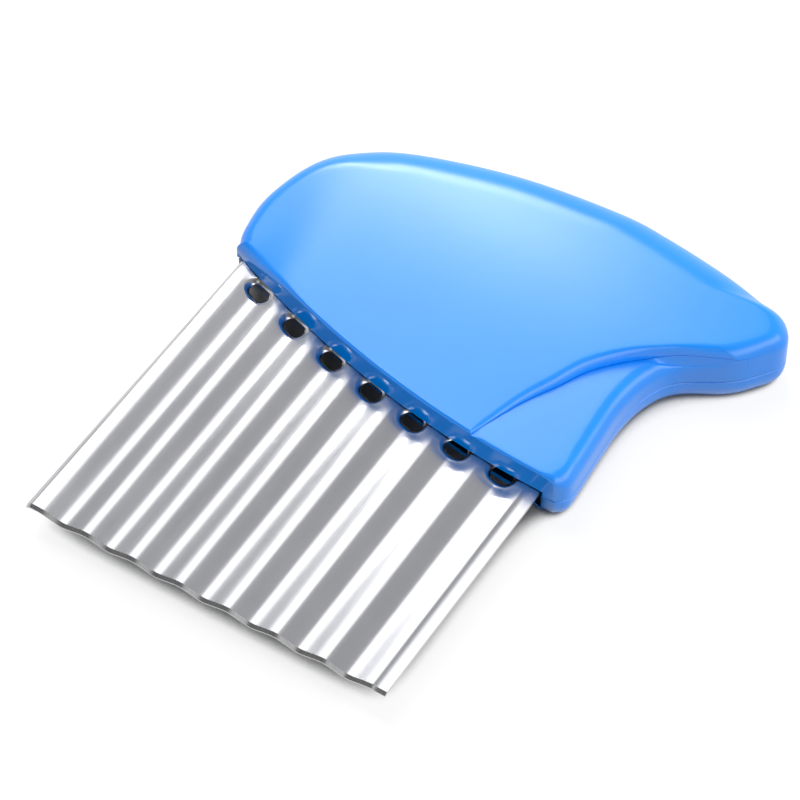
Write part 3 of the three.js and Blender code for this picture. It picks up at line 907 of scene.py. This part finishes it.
def make_world():
    """White walls round the horizon under a grey ceiling, which is darker to the front than to the back."""
    world = bpy.data.worlds.new("studio")
    bpy.context.scene.world = world
    world.use_nodes = True
    tree = world.node_tree
    axes = axes_of(tree, "Generated")
    wall = map_range(tree, axes["Z"], WALL_FADE, (1.0, 0.0))
    ceiling = map_range(tree, axes["Y"], CEILING_FADE, CEILING)
    tree.links.new(combined(tree, "MAXIMUM", wall, ceiling), tree.nodes["Background"].inputs["Color"])


def make_floor():
    """A pale floor that shows white where it lies open; where the cutter closes it in, ambient occlusion dims
    its glow, a painted shadow.
    """
    mesh = bpy.data.meshes.new("floor")
    half = FLOOR_HALF * MM
    corners = [(-half, -half, 0), (half, -half, 0), (half, half, 0), (-half, half, 0)]
    mesh.from_pydata(corners, [], [(0, 1, 2, 3)])
    floor = bpy.data.objects.new("floor", mesh)
    bpy.context.scene.collection.objects.link(floor)
    material, tree, shader = node_material("pale_floor")
    shader.inputs["Base Color"].default_value = (FLOOR_ALBEDO, FLOOR_ALBEDO, FLOOR_ALBEDO, 1)
    shader.inputs["Roughness"].default_value = FLOOR_ROUGHNESS
    shader.inputs["Specular IOR Level"].default_value = 0.0
    shader.inputs["Emission Color"].default_value = (1, 1, 1, 1)
    # Painted shadow: ambient occlusion takes the glow away under and beside the cutter
    open_sky = tree.nodes.new("ShaderNodeAmbientOcclusion")
    open_sky.inputs["Distance"].default_value = FLOOR_SHADE_REACH * MM
    glow_with_painted_shadow = map_range(tree, open_sky.outputs["AO"], FLOOR_SHADE, (0, FLOOR_GLOW))
    glow = combined(tree, "MULTIPLY", seen_directly(tree), glow_with_painted_shadow)
    tree.links.new(glow, shader.inputs["Emission Strength"])
    mesh.materials.append(material)


def make_lights():
    """Four softboxes over the cutter and one at its right side."""
    softbox("strip_softbox", slanted(-27.5, 24), distance=0.7, size=(0.42, 0.44), along=ACROSS, radiance=1.2)
    softbox("key_softbox", slanted(-36, 42), distance=0.4, size=(0.17, 0.115), along=ACROSS, radiance=12)
    softbox("top_softbox", slanted(-22, 7), distance=0.7, size=(0.45, 0.17), along=ACROSS, radiance=4.4)
    softbox("edge_softbox", slanted(5, -36), distance=0.7, size=(0.17, 0.24), along=ACROSS, radiance=0.9)
    softbox("side_softbox", (0.83, 0.0, 0.56), distance=0.9, size=(1.5, 0.45), along=ALONG, radiance=2.6)


bpy.context.scene.view_settings.view_transform = "Standard"
make_camera()
make_world()
make_floor()
make_lights()
make_blade([
    steel_material("pressed_stainless_steel", PRESSED_STEEL, PRESSED_ROUGHNESS),
    steel_material("ground_steel_edge", GROUND_STEEL, GROUND_ROUGHNESS),
])
make_handle([
    plastic_material("blue_moulded_plastic", BLUE),
    # The inside of the shells takes the near-black colour, a painted shade
    plastic_material("inside_painted_shade", INSIDE_PAINTED_SHADE),
])
